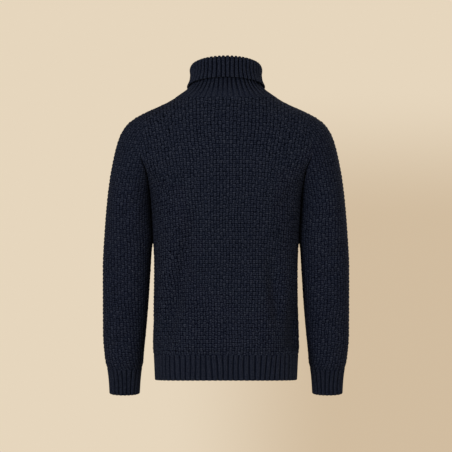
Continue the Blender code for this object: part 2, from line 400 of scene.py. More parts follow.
def basket(u, v):
    """Height of the cloth in blocks u, v: 0 in the gaps and up to 1 on the knit blocks."""
    column, row = np.floor(u + 1e-6), np.floor(v + 1e-6)
    across = np.abs(2 * (u - column) - 1)
    up = np.abs(2 * (v - row) - 1)
    knit = (column + row) % 2
    cushion = (1 - across**CUSHION_POWER) * (1 - up**CUSHION_POWER)
    return cushion * (0.66 + 0.34 * knit) * (0.86 + 0.28 * (uneven(column, row) - 0.5))


def drift(u, v):
    """Slow wander of wales and courses, in blocks."""
    sideways = 0.11 * np.sin(0.31 * v + 0.17 * u) + 0.07 * np.sin(0.47 * v - 0.23 * u + 1.7)
    upward = 0.10 * np.sin(0.29 * u + 0.13 * v + 0.6) + 0.06 * np.sin(0.53 * u - 0.19 * v)
    return np.stack([sideways, upward])


print("height in the middle of a purl and a knit block: %.2f, %.2f" % (basket(0.5, 0.5), basket(1.5, 0.5)))

# %% [markdown]
# ## Soft folds
#
# The knit is heavy and hangs almost smooth. What is left are a few long, shallow troughs that run down
# towards the sides, short ones across the elbows, and pulls at the underarms. Noise would put folds
# anywhere, so these are placed one by one. Each is a valley along a line, deepest in the middle and
# fading to both ends, with a low swell on either side. The front has similar ones in other places.

# %%
# Folds
SWELL = 0.25
SWELL_WIDTH = 2.4

FOLD = "x1 z1 x2 z2 width depth"
BACK_FOLDS = rows_of(
    FOLD,
    (-78, -262, -147, -630, 24, 20.0),
    (112, -372, 118, -580, 19, 12.0),
    (156, -480, 166, -660, 34, 16.0),
    (-168, -205, -118, -286, 14, 3.0),
    (166, -208, 120, -282, 14, 3.0),
    (-60, -556, -14, -604, 16, 2.2),
    (14, -380, 34, -470, 22, 2.0),
)
FRONT_FOLDS = rows_of(
    FOLD,
    (90, -262, 148, -590, 20, 15.0),
    (-112, -380, -98, -600, 18, 11.0),
    (158, -205, 96, -270, 15, 3.6),
    (-160, -208, -92, -262, 15, 3.8),
    (-36, -96, 16, -142, 18, 2.0),
    (30, -566, 74, -606, 16, 2.2),
)
SLEEVE_FOLDS = rows_of(
    FOLD,
    (-108, -396, -44, -352, 14, 3.0),
    (-116, -440, -44, -398, 15, 3.4),
    (24, -446, 96, -404, 15, 3.2),
    (44, -488, 104, -448, 15, 2.8),
    (-90, -520, -24, -556, 16, 2.6),
    (-80, -592, -10, -622, 15, 2.8),
    (38, -612, 96, -566, 15, 3.0),
    (-128, -268, -76, -322, 14, 3.2),
    (76, -304, 128, -262, 14, 3.2),
)


def fold_heights(folds, x, z):
    """How far the folds lift the cloth at places x, z, in millimetres, below 0 in a trough."""
    total = np.zeros_like(x)
    for fold in folds:
        start = np.array([fold.x1, fold.z1], float)
        line = np.array([fold.x2, fold.z2]) - start
        reach = np.linalg.norm(line)
        run, off = line / reach, np.array([-line[1], line[0]]) / reach
        along_it = ((x - start[0]) * run[0] + (z - start[1]) * run[1]) / reach
        bend = 0.35 * fold.width * np.sin(3.0 * along_it + 0.02 * fold.x1)
        across = ((x - start[0]) * off[0] + (z - start[1]) * off[1] + bend) / fold.width
        fade = smooth(along_it, -0.15, 0.45) * (1 - smooth(along_it, 0.6, 1.15))
        valley = (1 + SWELL) * np.exp(-across * across)
        total -= fold.depth * fade * (valley - SWELL * np.exp(-(across / SWELL_WIDTH) ** 2))
    return total


print("half way down the first trough: %.1f mm" % fold_heights(BACK_FOLDS, -112.0, -446.0))

# %% [markdown]
# ## Back and front
#
# Wales run up the panel from the hem. Their pitch opens slowly towards the shoulders, where the cloth
# is stretched, and side seam, armhole, shoulder seam and neckline cut them where they meet. A flat grid
# bent to the form would stretch its blocks where the back leans. So courses are counted by the length
# of cloth up each wale, and keep their height.


# %%
# Places on the body
LEVELS = 200
SAMPLES = 161

PITCH = rows_of(
    "height width",
    (-683, 6.6),
    (-560, 6.8),
    (-400, 7.0),
    (-262, 7.25),
    (-165, 7.8),
    (-70, 8.6),
    (-8, 8.9),
)


def read(table, levels, u, z):
    """A panel's value at u blocks from its middle and height z, from a table of even levels and wales."""
    row = np.clip((z - levels[0]) / (levels[-1] - levels[0]) * (LEVELS - 1), 0, LEVELS - 1.001)
    column = np.clip(u * ACROSS + table.shape[1] // 2, 0, table.shape[1] - 1.001)
    r, c = row.astype(int), column.astype(int)
    a, b = row - r, column - c
    low = table[r, c] * (1 - b) + table[r, c + 1] * b
    high = table[r + 1, c] * (1 - b) + table[r + 1, c + 1] * b
    return low * (1 - a) + high * a


def arcs_along(x, y):
    """Length along each row of points, from its first point."""
    steps = np.hypot(np.diff(x, axis=1), np.diff(y, axis=1))
    return np.concatenate([np.zeros((len(x), 1)), np.cumsum(steps, axis=1)], axis=1)


def body_arcs(heights, face):
    """For a stack of heights, half widths round a level section and the length from the middle to each."""
    x = side(heights)[:, None] * np.sin(np.linspace(0, math.pi / 2, SAMPLES))
    return x, arcs_along(x, body_y(x, heights[:, None], face))


def hem_lift(x, height):
    """How far the level sections ride up in the middle, near the hem."""
    rise = HEM_LIFT * np.clip((LIFT_TOP - height) / LIFT_FADE, 0, 1)
    return rise * np.sqrt(np.clip(1 - (x / side(height)) ** 2, 0, 1))


def panel_top(x, face):
    """Height where a wale ends: on the neckline, or on the shoulder seam outside it."""
    neck_width = float(along(REACH, "half_width", NECK_SIDE))
    neck = NECK_FRONT if face > 0 else NECK_BACK
    on_neck = NECK_SIDE + (neck - NECK_SIDE) * np.sqrt(np.clip(1 - (x / neck_width) ** 2, 0, 1))
    heights = np.linspace(SHOULDER_TIP, NECK_SIDE, LEVELS)
    ridge = np.interp(-np.abs(x), -along(REACH, "half_width", heights), heights)
    return np.where(np.abs(x) < neck_width, on_neck, ridge)


def body_point(x, height, face):
    """The place on back or front at a half width and a level."""
    return np.stack([x, body_y(x, height, face), height + hem_lift(x, height)], axis=-1)


print("the back's neckline is at %.0f mm in the middle" % panel_top(0.0, -1))

# %% [markdown]
# A knitted piece shows its blocks, a groove along each seam where its edge is drawn in, and whatever
# lifts it, such as folds, or the arm that rests against the side below the underarm. The relief could
# be a displacement in the finish, but then it would be missing from the mesh. Here all of it moves
# points along the cloth's own normals, so it is as deep on a shoulder as on the flat of the back. One
# helper serves panels and sleeves.


# %%
# A piece of basket knit
PRESS = 2.3
PRESS_TOP = (185, 225)
PRESS_BOTTOM = (335, 375)


def pressed(z):
    """How far the arm presses the side out at a level, in millimetres."""
    return PRESS * smooth(-z, *PRESS_TOP) * (1 - smooth(-z, *PRESS_BOTTOM))


def knit_piece(name, points, u, v, to_side, to_top, outside, lift, flip):
    """A basket-knit piece through its points, with its blocks, the grooves at its seams, and its lift."""
    inside_u = u - np.sign(u) * np.maximum(-to_side, 0) / BLOCK_WIDTH
    inside_v = v + np.minimum(to_top, 0) / BLOCK_HEIGHT
    stitches = np.stack([inside_u, inside_v * COURSES], axis=-1)
    piece, used = cloth(name, points, stitches, outside, flip=flip)
    to_seam = np.maximum(np.minimum(np.minimum(to_side, to_top), v * BLOCK_HEIGHT), 0)
    open_cloth = smooth(to_seam, 0, SEAM_WIDTH)
    gaps = BASKET_RELIEF * (1 - basket(inside_u, inside_v)) * open_cloth
    heights = lift - gaps - SEAM_RELIEF * (1 - open_cloth)
    raise_by(piece, heights.reshape(-1)[used])
    return piece


print("at the underarm the arm presses the side out by %.1f mm" % pressed(UNDERARM))

# %% [markdown]
# Back and front are made in their own blocks: u counts them to both sides from the middle wale, and v
# counts them up from the hem. On a worn sweater courses sag a little towards the sides, here more on
# the left of the back than on the right. Folds and blocks die away at the seams, where the cloth is
# held.


# %%
# Body panels
PANEL_LEVELS = 500
TOP_ROUNDS = 5
SHOULDER_SLOPE = 1.1
SAG_BLOCKS = 30
COURSE_SAG = (20.0, 10.0)
SAG_START = (4, 34)
DRIFT_START = (0, 2)
FOLD_START = (0, 3)
FOLD_FADE = (0, 24)
PRESS_SIDE = (8, 26)


def body_panel(name, face, folds):
    """Back (face -1) or front (face 1) in basket stitch."""
    levels = np.linspace(HEM_SEAM, YOKE, LEVELS)
    half_widths, arcs = body_arcs(levels, face)
    pitch = along(PITCH, "width", levels)
    blocks = math.ceil((arcs[:, -1] / pitch).max())
    u = np.linspace(-blocks, blocks, 2 * blocks * ACROSS + 1)
    wanted = np.abs(u) * pitch[:, None]
    spare = arcs[:, -1:] - wanted
    widths = np.array([np.interp(w, a, x) for w, a, x in zip(wanted, arcs, half_widths)])
    widths -= np.minimum(spare, 0)

    def fan(z):
        return along(PITCH, "width", np.maximum(z, YOKE)) / along(PITCH, "width", YOKE)

    def width(u, z):
        return np.sign(u) * np.minimum(read(widths, levels, u, z) * fan(z), side(z))

    top = np.full(len(u), YOKE)
    for _ in range(TOP_ROUNDS):
        top = panel_top(np.minimum(widths[-1] * fan(top), SIDE[0].half_width), face)
    climb = HEM_SEAM + (top - HEM_SEAM) * np.linspace(0, 1, PANEL_LEVELS)[:, None]
    up = lengths(body_point(width(u, climb), climb, face)) / BLOCK_HEIGHT
    v = np.arange(0, up[-1].max() + 3, 1 / UP)[:, None] + np.zeros_like(u)
    u = u + np.zeros_like(v)
    sideways, upward = drift(u, v) * smooth(v, *DRIFT_START)
    sag = np.where(u < 0, *COURSE_SAG) / BLOCK_HEIGHT * np.minimum(np.abs(u) / SAG_BLOCKS, 1) ** 2
    climbed = v + upward - sag * smooth(v, *SAG_START)
    z = np.stack([np.interp(r, c, h) for r, c, h in zip(climbed.T, up.T, climb.T)], axis=1)
    x = width(u + sideways, z)
    ceiling = panel_top(x, face)
    reach = read(widths, levels, u + sideways, z) * fan(z)
    below_yoke = read(spare, levels, u + sideways, z)
    to_side = np.where(z > YOKE, SHOULDER_SLOPE * (side(z) - reach), below_yoke)
    to_top = (up[-1] - climbed) * BLOCK_HEIGHT
    outside = (to_side <= 0) | (to_top <= 0) | (z >= ceiling)
    z = np.where(to_top <= 0, ceiling, np.minimum(z, ceiling))
    calm = smooth(to_side, *FOLD_FADE) * smooth(to_top, *FOLD_FADE) * smooth(v, *FOLD_START)
    lift = fold_heights(folds, x, z) * calm + pressed(z) * (1 - smooth(to_side, *PRESS_SIDE))
    points = body_point(x, z, face)
    return knit_piece(name, points, u, v, to_side, to_top, outside, lift, face > 0)


back = body_panel("back_knit", -1, BACK_FOLDS)
front = body_panel("front_knit", 1, FRONT_FOLDS)
tell(back, front)

# %% [markdown]
# ## Sleeves
#
# A sleeve is one flat piece, sewn into a tube under the arm and set into the armhole. A grid wrapped
# evenly round the tube would squeeze its blocks at the wrist. Here the middle wale runs along the
# outside of the arm from the cuff to the tip of the shoulder. The others lie beside it at an even
# pitch, and they end at the armhole above and at the underarm seam below, as in the real piece.


# %%
# Sleeves
SLEEVE_PITCH = 8.4
SLEEVE_TOP = SHOULDER_TIP - 0.5
SLEEVE_LEVELS = 600
SLEEVE_DRIFT = (40, 9)
RIGHT_FOLDS_LOWER = 14
PRESS_TURN = (2.2, 2.8)


def sleeve_point(turn, height):
    """A place on the right sleeve: turn is 0 on the arm's outside, below 0 behind and above 0 in front."""
    inner, outer = sleeve_inner(height), along(REACH, "half_width", height)
    x = inner + (outer - inner) * (1 + np.cos(turn)) / 2
    y = np.where(turn < 0, sleeve_y(x, height, -1), sleeve_y(x, height, 1))
    tip = along(ARM, "tip", height) * (y - along(ARM, "middle", height))
    return np.stack([x, y, height + tip], axis=-1)


def sleeve_arcs(levels):
    """For a stack of heights, the length from the outside of the arm to each turn, behind and in front."""
    turns = np.linspace(0, math.pi, SAMPLES)
    arcs = []
    for way in (-1, 1):
        points = sleeve_point(way * turns[None, :] + np.zeros((len(levels), 1)), levels[:, None])
        arcs.append(lengths(points.transpose(1, 0, 2)).T)
    return turns, arcs


def sleeve(name, hand):
    """A set-in sleeve in basket stitch; hand is 1 on the wearer's right (+X) and -1 on the left."""
    levels = np.linspace(CUFF_SEAM, SLEEVE_TOP, LEVELS)
    turns, arcs = sleeve_arcs(levels)
    blocks = round(max(side_arcs[:, -1].max() for side_arcs in arcs) / SLEEVE_PITCH)
    u = np.linspace(-blocks, blocks, 2 * blocks * ACROSS + 1)
    wanted = np.abs(u) * SLEEVE_PITCH
    ways = [np.array([np.interp(wanted, a, turns) for a in side_arcs]) for side_arcs in arcs]
    turned = np.where(u < 0, -ways[0], ways[1])
    spare = np.where(u < 0, arcs[0][:, -1:], arcs[1][:, -1:]) - wanted

    climb = np.linspace(CUFF_SEAM, SLEEVE_TOP, SLEEVE_LEVELS)[:, None] + np.zeros_like(u)
    up = lengths(sleeve_point(read(turned, levels, u, climb), climb)) / BLOCK_HEIGHT
    v = np.arange(0, up[-1].max() + 1 / UP, 1 / UP)[:, None] + np.zeros_like(u)
    u = u + np.zeros_like(v)
    calm = smooth(v, *DRIFT_START) * smooth(up[-1] - v, *DRIFT_START)
    sideways, upward = drift(u + SLEEVE_DRIFT[0], v * hand + SLEEVE_DRIFT[1]) * calm
    z = np.stack([np.interp(r, c, h) for r, c, h in zip((v + upward).T, up.T, climb.T)], axis=1)
    turn = read(turned, levels, u + sideways, z)
    to_side = read(spare, levels, u + sideways, z)
    to_top = (up[-1] - v) * BLOCK_HEIGHT
    outside = (to_side <= 0) | (to_top <= 0)
    lift = fold_heights(SLEEVE_FOLDS, u * SLEEVE_PITCH * hand, z + RIGHT_FOLDS_LOWER * (hand > 0))
    lift *= smooth(to_side, *FOLD_FADE) * smooth(v, *FOLD_START)
    lift += pressed(z) * smooth(np.abs(turn), *PRESS_TURN)
    points = sleeve_point(turn, z) * (hand, 1, 1)
    return knit_piece(name, points, u, v, to_side, to_top, outside, lift, hand < 0)


sleeve_left = sleeve("sleeve_left_knit", -1)
sleeve_right = sleeve("sleeve_right_knit", 1)
tell(sleeve_left, sleeve_right)

# %% [markdown]
# ## Rib
#
# Hem, cuffs and collar are two-and-two rib: two knit wales that stand up as a round ridge, then two
# purl wales that sink behind them. They are too deep for a bump in the finish, and are cut into the
# mesh. The ridges run the whole way and keep their number, so they crowd where the rib pulls in and fan
# out where it opens. The cloth is thick here, and its edge is a rounded lip, so the skin turns round it
# and goes on up the inside. The same wales are seen from behind there, and what was a ridge is a
# valley.

# %%
# Rib relief
RIB_STITCHES = 4
RIB_COLUMNS = 12
RIB_RELIEF = 2.7
COURSE = 4.6
RIDGE_RISE = 0.14
RIDGE_END = 0.74
RIDGE_MIDDLE = RIDGE_END / 2
SPLIT_DEPTH = 0.14
SPLIT_WIDTH = 0.05
LIP_STEPS = 7


def rib(r):
    """Height of the cloth at rib count r: near 1 on the ridge of two wales, 0 in the valley."""
    place = r - np.floor(r)
    ridge = smooth(place, 0.0, RIDGE_RISE) * (1 - smooth(place, RIDGE_END - RIDGE_RISE, RIDGE_END))
    split = SPLIT_DEPTH * np.exp(-(((place - RIDGE_MIDDLE) / SPLIT_WIDTH) ** 2))
    return ridge * (1 - split)


def wander(r, down):
    """Slow sideways wander of the ribs, in ribs."""
    return 0.10 * np.sin(0.9 * r + 0.035 * down) + 0.06 * np.sin(0.37 * r - 0.05 * down + 1.1)


def steps_along(points, closed):
    """The step along its row at each point; closed rows go on from their last point to their first."""
    if not closed:
        return np.gradient(points, axis=1)
    wrapped = np.concatenate([points[:, -1:], points, points[:, :1]], axis=1)
    return np.gradient(wrapped, axis=1)[:, 1:-1]


def unit(vectors):
    """The same directions at length 1."""
    return vectors / np.maximum(np.linalg.norm(vectors, axis=-1, keepdims=True), 1e-9)


def lip(edge_height):
    """Rows round the edge of thick cloth: level, and how far inwards from the outer side."""
    turn = np.linspace(0, math.pi, LIP_STEPS)[1:]
    level = edge_height + RIB_WALL / 2 * (1 - np.sin(turn))
    inwards = RIB_WALL / 2 * (1 - np.cos(turn))
    return list(zip(level, inwards))


print("rib height on the ridge and in the valley: %.2f, %.2f" % (rib(RIDGE_MIDDLE), rib(RIDGE_END)))

# %% [markdown]
# A tube of rib is made from rings: down the outer side from the seam, round the lip, and up the inside.
# One ring pulled down in a straight line would lose the slope of the form, so each row has its own.
# Near the seam the ribs are still shallow, because the cloth above holds them flat, and at the lip the
# valleys of the outer side turn into the ridges of the inner one.


# %%
# A tube of rib
INNER_ROWS = 14
CALM_RIBS = 1.5
RIB_START = 4
GROOVE_END = 3
LIP_WAVE = 0.9


def level_normals(points, closed):
    """Level directions at right angles to each row of points, to the right of its way."""
    step = steps_along(points, closed)
    return unit(np.stack([step[..., 1], -step[..., 0], np.zeros(step.shape[:2])], axis=-1))


def rib_tube(name, hand, ring, top, edge, ribs, closed):
    """Rib from a seam down, round its edge and up the inside; ring(hand, share, height) is outside."""
    flip = closed != (hand > 0)
    outer = np.linspace(top, edge + RIB_WALL / 2, round((top - edge) / COURSE * 2))
    inner = np.linspace(edge + RIB_WALL / 2, top, INNER_ROWS)[1:]
    rows = [(height, 0.0) for height in outer] + lip(edge) + [(height, RIB_WALL) for height in inner]
    heights, inwards = np.array(rows).T
    columns = ribs * RIB_COLUMNS
    shares = np.linspace(-1, 1, columns + 1)
    shares = (shares[:-1] if closed else shares) + np.zeros((len(heights), 1))
    down = (top - heights)[:, None] + np.zeros_like(shares)
    count = (shares + 1) / 2 * ribs
    calm = smooth(np.minimum(count, ribs - count), 0, CALM_RIBS)
    count = count + wander(count, down) * calm
    skin = ring(hand, shares, heights[:, None])
    out = level_normals(skin, closed) * (-1 if flip else 1)
    side_of = np.cos(np.pi * inwards / RIB_WALL)[:, None]
    ridge = rib(count)
    relief = RIB_RELIEF * smooth(down, 0, RIB_START)
    outer_loss = relief * (1 - ridge) + SEAM_RELIEF * (1 - smooth(down, 0, GROOVE_END))
    loss = np.where(side_of > 0, outer_loss, -relief * ridge) * np.abs(side_of)
    skin = skin - out * (inwards[:, None] + loss)[..., None]
    skin[..., 2] += LIP_WAVE * (1 - ridge) * (1 - np.abs(side_of))
    stitches = np.stack([count * RIB_STITCHES, down / COURSE], axis=-1)
    return cloth(name, skin, stitches, closed=closed * ribs * RIB_STITCHES, hollow=True, flip=not flip)[0]


print("a tube's lip takes", len(lip(HEM_EDGE)), "rows")

# %% [markdown]
# The hem is knitted in two halves with the panels. The cuffs are tubes that lean forward with the
# forearms. Both take their rings from the same sections as the cloth above, so nothing steps at the
# seam but the seam itself.


# %%
# Hem and cuffs
HEM_RIBS = 37
CUFF_RIBS = 22


def at_shares(shares, arcs, values):
    """For each row, the values at even shares of its length from the middle."""
    return np.array([np.interp(np.abs(s) * a[-1], a, v) for s, a, v in zip(shares, arcs, values)])


def hem_ring(face, shares, heights):
    """The outer side of the hem, on the body's own sections."""
    half_widths, arcs = body_arcs(heights[:, 0], face)
    x = at_shares(shares, arcs, half_widths) * np.sign(shares)
    return body_point(x, heights + np.zeros_like(shares), face)


def cuff_ring(hand, shares, heights):
    """The outer side of a cuff, on the sleeve's own sections."""
    turns, arcs = sleeve_arcs(heights[:, 0])
    behind, ahead = (at_shares(shares, side_arcs, [turns] * len(shares)) for side_arcs in arcs)
    turn = np.where(shares < 0, -behind, ahead)
    return sleeve_point(turn, heights + np.zeros_like(shares)) * (hand, 1, 1)


HEM = (hem_ring, HEM_SEAM, HEM_EDGE, HEM_RIBS, False)
CUFF = (cuff_ring, CUFF_SEAM, CUFF_EDGE, CUFF_RIBS, True)
hem_back = rib_tube("hem_back_knit", -1, *HEM)
hem_front = rib_tube("hem_front_knit", 1, *HEM)
cuff_left = rib_tube("cuff_left_knit", -1, *CUFF)
cuff_right = rib_tube("cuff_right_knit", 1, *CUFF)
tell(hem_back, hem_front, cuff_left, cuff_right)

# %% [markdown]
# ## Roll collar
#
# The collar is one long rib strip, picked up round the neckline. It stands, folds over and comes down
# again outside itself. Two tubes, one in the other, would lack the round rim of the fold, so it is one
# strip here too. The rows below follow its hidden side, which faces the neighbouring layer: up the
# stand, over the rim and down the turnover. The side that is seen lies one wall away.

# %%
# Rings of the collar
COLLAR_RIBS = 48
FLARE = ((0.36, 0.30), (0.70, 0.60))
COLLAR = rows_of(
    "half_width back front back_height side_height front_height",
    (85, -52, 87, 33, 24, -18),
    (77.5, -46, 84.5, 54, 38, 4),
    (73.5, -41.5, 81.5, 75, 56, 28),
    (74.5, -41.5, 82, 84.5, 64, 38.5),
    (79.5, -44.5, 86, 87.8, 67.5, 42),
    (82.1, -47.5, 89, 84.3, 64, 38.5),
    (82.1, -49, 89.5, 68, 47, 22),
    (84.4, -52, 91.5, 54, 31.5, 7.5),
    (90, -55, 94.5, 41, 19, -5),
)


def collar_ring(ring, angle):
    """An oval ring that leans: its height runs from back over the sides to the front."""
    ahead = -np.cos(angle)
    x = ring.half_width * np.sin(angle)
    y = (ring.back + ring.front) / 2 + (ring.front - ring.back) / 2 * ahead
    end = np.where(ahead > 0, ring.front_height, ring.back_height)
    return np.stack([x, y, ring.side_height + (end - ring.side_height) * np.abs(ahead)], axis=1)


def neck_seam(angle):
    """The neckline all round: angle 0 is the middle of the back, and half a turn the middle of the front."""
    behind = neckline(angle, -1)
    ahead = neckline(math.pi - angle, 1)
    return np.where((np.cos(angle) >= 0)[:, None], behind, ahead)


def evenly(loop, count):
    """Points at even lengths round a closed loop, from its first point."""
    whole = np.concatenate([loop, loop[:1]])
    run = lengths(whole)
    at = np.linspace(0, run[-1], count + 1)[:-1]
    return np.stack([np.interp(at, run, axis) for axis in whole.T], axis=-1)


def through(rows, places, at):
    """Points on smooth curves through a stack of rows."""
    steps = np.diff(places)[:, None, None]
    slopes = np.diff(rows, axis=0) / steps
    weight = steps[:-1] / (steps[:-1] + steps[1:])
    inner = slopes[:-1] * (1 - weight) + slopes[1:] * weight
    tangents = np.concatenate([slopes[:1], inner, slopes[-1:]])
    k = np.clip(np.searchsorted(places, at, side="right") - 1, 0, len(places) - 2)
    t = (at - places[k])[:, None, None] / steps[k]
    return cubic(t, steps[k], rows[k], rows[k + 1], tangents[k], tangents[k + 1])


rim = max(ring.back_height for ring in COLLAR)
print("the collar's rim is %.0f mm above the side of the neck" % (rim - NECK_SIDE))

# %% [markdown]
# Both sides of the strip carry the ribs, and a ridge on one side is a valley on the other. The hidden
# side stays flatter where the strip folds, so that the layers don't meet. Each rib keeps its number all
# the way round the rim, and wanders a little to the side, as ribs on a folded collar do. The free edge
# is closed with a round lip.


# %%
# Roll collar
ROW_STEP = 1.9
HIDDEN_RELIEF = 0.8
HIDDEN_START = (0, 6)
HIDDEN_GROWTH = (6, 44)
EDGE_STEPS = 6
EDGE_ROUND = 0.6


def collar_wander(count, down):
    """Sideways wander of the collar's ribs, in ribs; it closes on itself after one turn."""
    turned = count * 2 * math.pi / COLLAR_RIBS
    wide = 0.06 * np.sin(5 * turned + 0.035 * down[:, None])
    return wide + 0.04 * np.sin(11 * turned - 0.05 * down[:, None] + 1.1)


def collar(name):
    """The strip: from the neck seam along its hidden side, round its edge, and back along the seen side."""
    columns = COLLAR_RIBS * RIB_COLUMNS
    angle = np.linspace(0, 2 * math.pi, 4 * columns + 1)[:-1]
    seam = evenly(neck_seam(angle), columns)
    rings = [evenly(collar_ring(ring, angle), columns) for ring in COLLAR]
    flare = [seam + (rings[0] - seam) * (out, out, up) for out, up in FLARE]
    rows = np.stack([seam, *flare, *rings])
    reach = lengths(rows).mean(axis=1)
    at = np.arange(0, reach[-1], ROW_STEP)
    hidden = through(rows, reach, np.append(at, reach[-1]))
    away = unit(np.cross(np.gradient(hidden, axis=0), steps_along(hidden, True)))
    down = lengths(hidden).mean(axis=1)
    count = np.arange(columns) / RIB_COLUMNS + np.zeros((len(hidden), 1))
    count = count + collar_wander(count, down)
    ridge = rib(count)
    growth = 0.5 + 0.5 * smooth(down, *HIDDEN_GROWTH)
    hidden_depth = RIB_RELIEF * HIDDEN_RELIEF * smooth(down, *HIDDEN_START) * growth
    hidden_side = hidden + away * (hidden_depth[:, None] * ridge)[..., None]
    seen_side = hidden + away * (RIB_WALL - RIB_RELIEF * (1 - ridge))[..., None]
    middle = (hidden_side[-1] + seen_side[-1]) / 2
    half = np.linalg.norm(seen_side[-1] - hidden_side[-1], axis=-1, keepdims=True) / 2
    drop = unit(hidden[-1] - hidden[-2]) * (half + EDGE_ROUND)
    turn = np.linspace(0, math.pi, EDGE_STEPS)[1:-1]
    edge = [middle - away[-1] * half * math.cos(t) + drop * math.sin(t) for t in turn]
    edge_count = np.repeat(count[-1:], len(edge), axis=0)
    skin = np.concatenate([hidden_side, edge, seen_side[::-1]])
    ribs = np.concatenate([count + 0.5, edge_count, count[::-1]])
    place = np.concatenate([down, np.full(len(edge), down[-1]), down[::-1]])
    stitches = np.stack([ribs * RIB_STITCHES, place[:, None] / COURSE + np.zeros_like(ribs)], axis=-1)
    return cloth(name, skin, stitches, closed=COLLAR_RIBS * RIB_STITCHES, hollow=True)[0]


roll_collar = collar("collar_knit")
tell(roll_collar)

# %% [markdown]
# ## Yarn
#
# Finishes here are plain shader maths. Nodes could be placed and linked one by one, but a pattern of
# dozens of Math nodes is hard to read and to change. The class below lets a node's socket be added,
# multiplied and compared like a number, so that a pattern reads as a formula. Any other node comes from
# its one method, which takes the node's type, its settings and what goes into its sockets.


# %%
# Shader maths
class Wire:
    """An output of a node. Numbers work in formulas; vectors and colours only go on into other nodes."""

    def __init__(self, tree, socket=None):
        self.tree, self.socket = tree, socket

    def node(self, kind, settings=None, sockets=None, output=0):
        """An output of a new node, from its type, its settings and the values or links of its sockets."""
        made = self.tree.nodes.new(kind)
        for name, value in (settings or {}).items():
            setattr(made, name, value)
        feed(made, sockets or {})
        return Wire(self.tree, made.outputs[output])

    def maths(self, operation, *values):
        return self.node("ShaderNodeMath", {"operation": operation}, dict(enumerate(values)))

    def __add__(self, other):
        return self.maths("ADD", self, other)

    def __sub__(self, other):
        return self.maths("SUBTRACT", self, other)

    def __rsub__(self, other):
        return self.maths("SUBTRACT", other, self)

    def __mul__(self, other):
        return self.maths("MULTIPLY", self, other)

    def __gt__(self, other):
        return self.maths("GREATER_THAN", self, other)

    def __lt__(self, other):
        return self.maths("LESS_THAN", self, other)

    __radd__ = __add__
    __rmul__ = __mul__

    def floor(self):
        return self.maths("FLOOR", self)

    def fraction(self):
        return self.maths("FRACT", self)

    def absolute(self):
        return self.maths("ABSOLUTE", self)

    def off_middle(self):
        """0 in the middle of each whole unit and 0.5 at its ends."""
        return (self.fraction() - 0.5).absolute()

    def soft(self, low, high):
        """0 below low, 1 above high, smooth between."""
        sockets = {"Value": self, "From Min": low, "From Max": high}
        return self.node("ShaderNodeMapRange", {"interpolation_type": "SMOOTHSTEP"}, sockets, "Result")

    def part(self, axis):
        """The X, Y or Z of a vector, as a number."""
        return self.node("ShaderNodeSeparateXYZ", sockets={"Vector": self}, output=axis)


print("a wire knows:", ", ".join(name for name in vars(Wire) if not name.startswith("_")))

# %% [markdown]
# A few helpers serve every finish. One fills a node's sockets and one makes a material with its own
# shader. The other two stand for the nodes used most: soft noise, and a colour between two others,
# which no Math node can give because it turns a colour grey.


# %%
# Helpers for finishes
def feed(node, sockets):
    """Fills a node's sockets, by name or place: a wire is linked and a plain value is set."""
    for name, value in sockets.items():
        if isinstance(value, Wire):
            value.tree.links.new(value.socket, node.inputs[name])
        else:
            node.inputs[name].default_value = value


def new_material(name):
    """A material, its own shader, and a wire that its other nodes start from."""
    material = bpy.data.materials.new(name)
    material.use_nodes = True
    tree = material.node_tree
    return material, tree.nodes["Principled BSDF"], Wire(tree)


def noise(place, scale, detail=2.0, rough=0.5):
    """Soft cloudy values round 0.5 over a place."""
    sockets = {"Vector": place, "Scale": scale, "Detail": detail, "Roughness": rough}
    return place.node("ShaderNodeTexNoise", sockets=sockets, output="Fac")


# A Mix node's colour sockets by place, because its numbers and vectors go by the same names.
MIX_FROM, MIX_TO, MIXED = 6, 7, 2


def mixed(share, start, end):
    """A colour between two, by a share from 0 to 1."""
    sockets = {"Factor": share, MIX_FROM: start, MIX_TO: end}
    return share.node("ShaderNodeMix", {"data_type": "RGBA"}, sockets, MIXED)


print("a Mix node takes its colours at places %d and %d" % (MIX_FROM, MIX_TO))

# %% [markdown]
# ## Light and dark in the knit
#
# Almost all the drawing of dark wool comes from the shadows between stitches. Relief and lamps give
# only part of them, because yarn also shades itself within each loop, so shade is painted into the
# tone itself. In the basket knit every block is painted light in its middle and dark round it, and
# purl blocks are painted lighter than knit ones, as if lit from above. In the rib the valleys are
# painted dark, and a painted dark line parts the two wales of each ridge. The loops are too small for
# the mesh: a knit stitch shows two legs that lean together, and a purl stitch shows a bar, and the
# colour is painted darker off them.


# %%
# Tones and stitches
# Strengths of painted shade in the gaps beside blocks, between courses and at block ends
SIDE_GAP_SHADE = 0.62
COURSE_GAP_SHADE = 0.40
END_GAP_SHADE = 0.52
# Purl blocks are painted lighter than knit ones, as painted light on bars lit from above
PURL_LIT_TONE = 1.32
KNIT_TONE = 1.08
BLOCK_CHANCE = 0.24
# Painted shade in the thin line between the two wales of a rib ridge
WALE_LINE_SHADE = 0.3


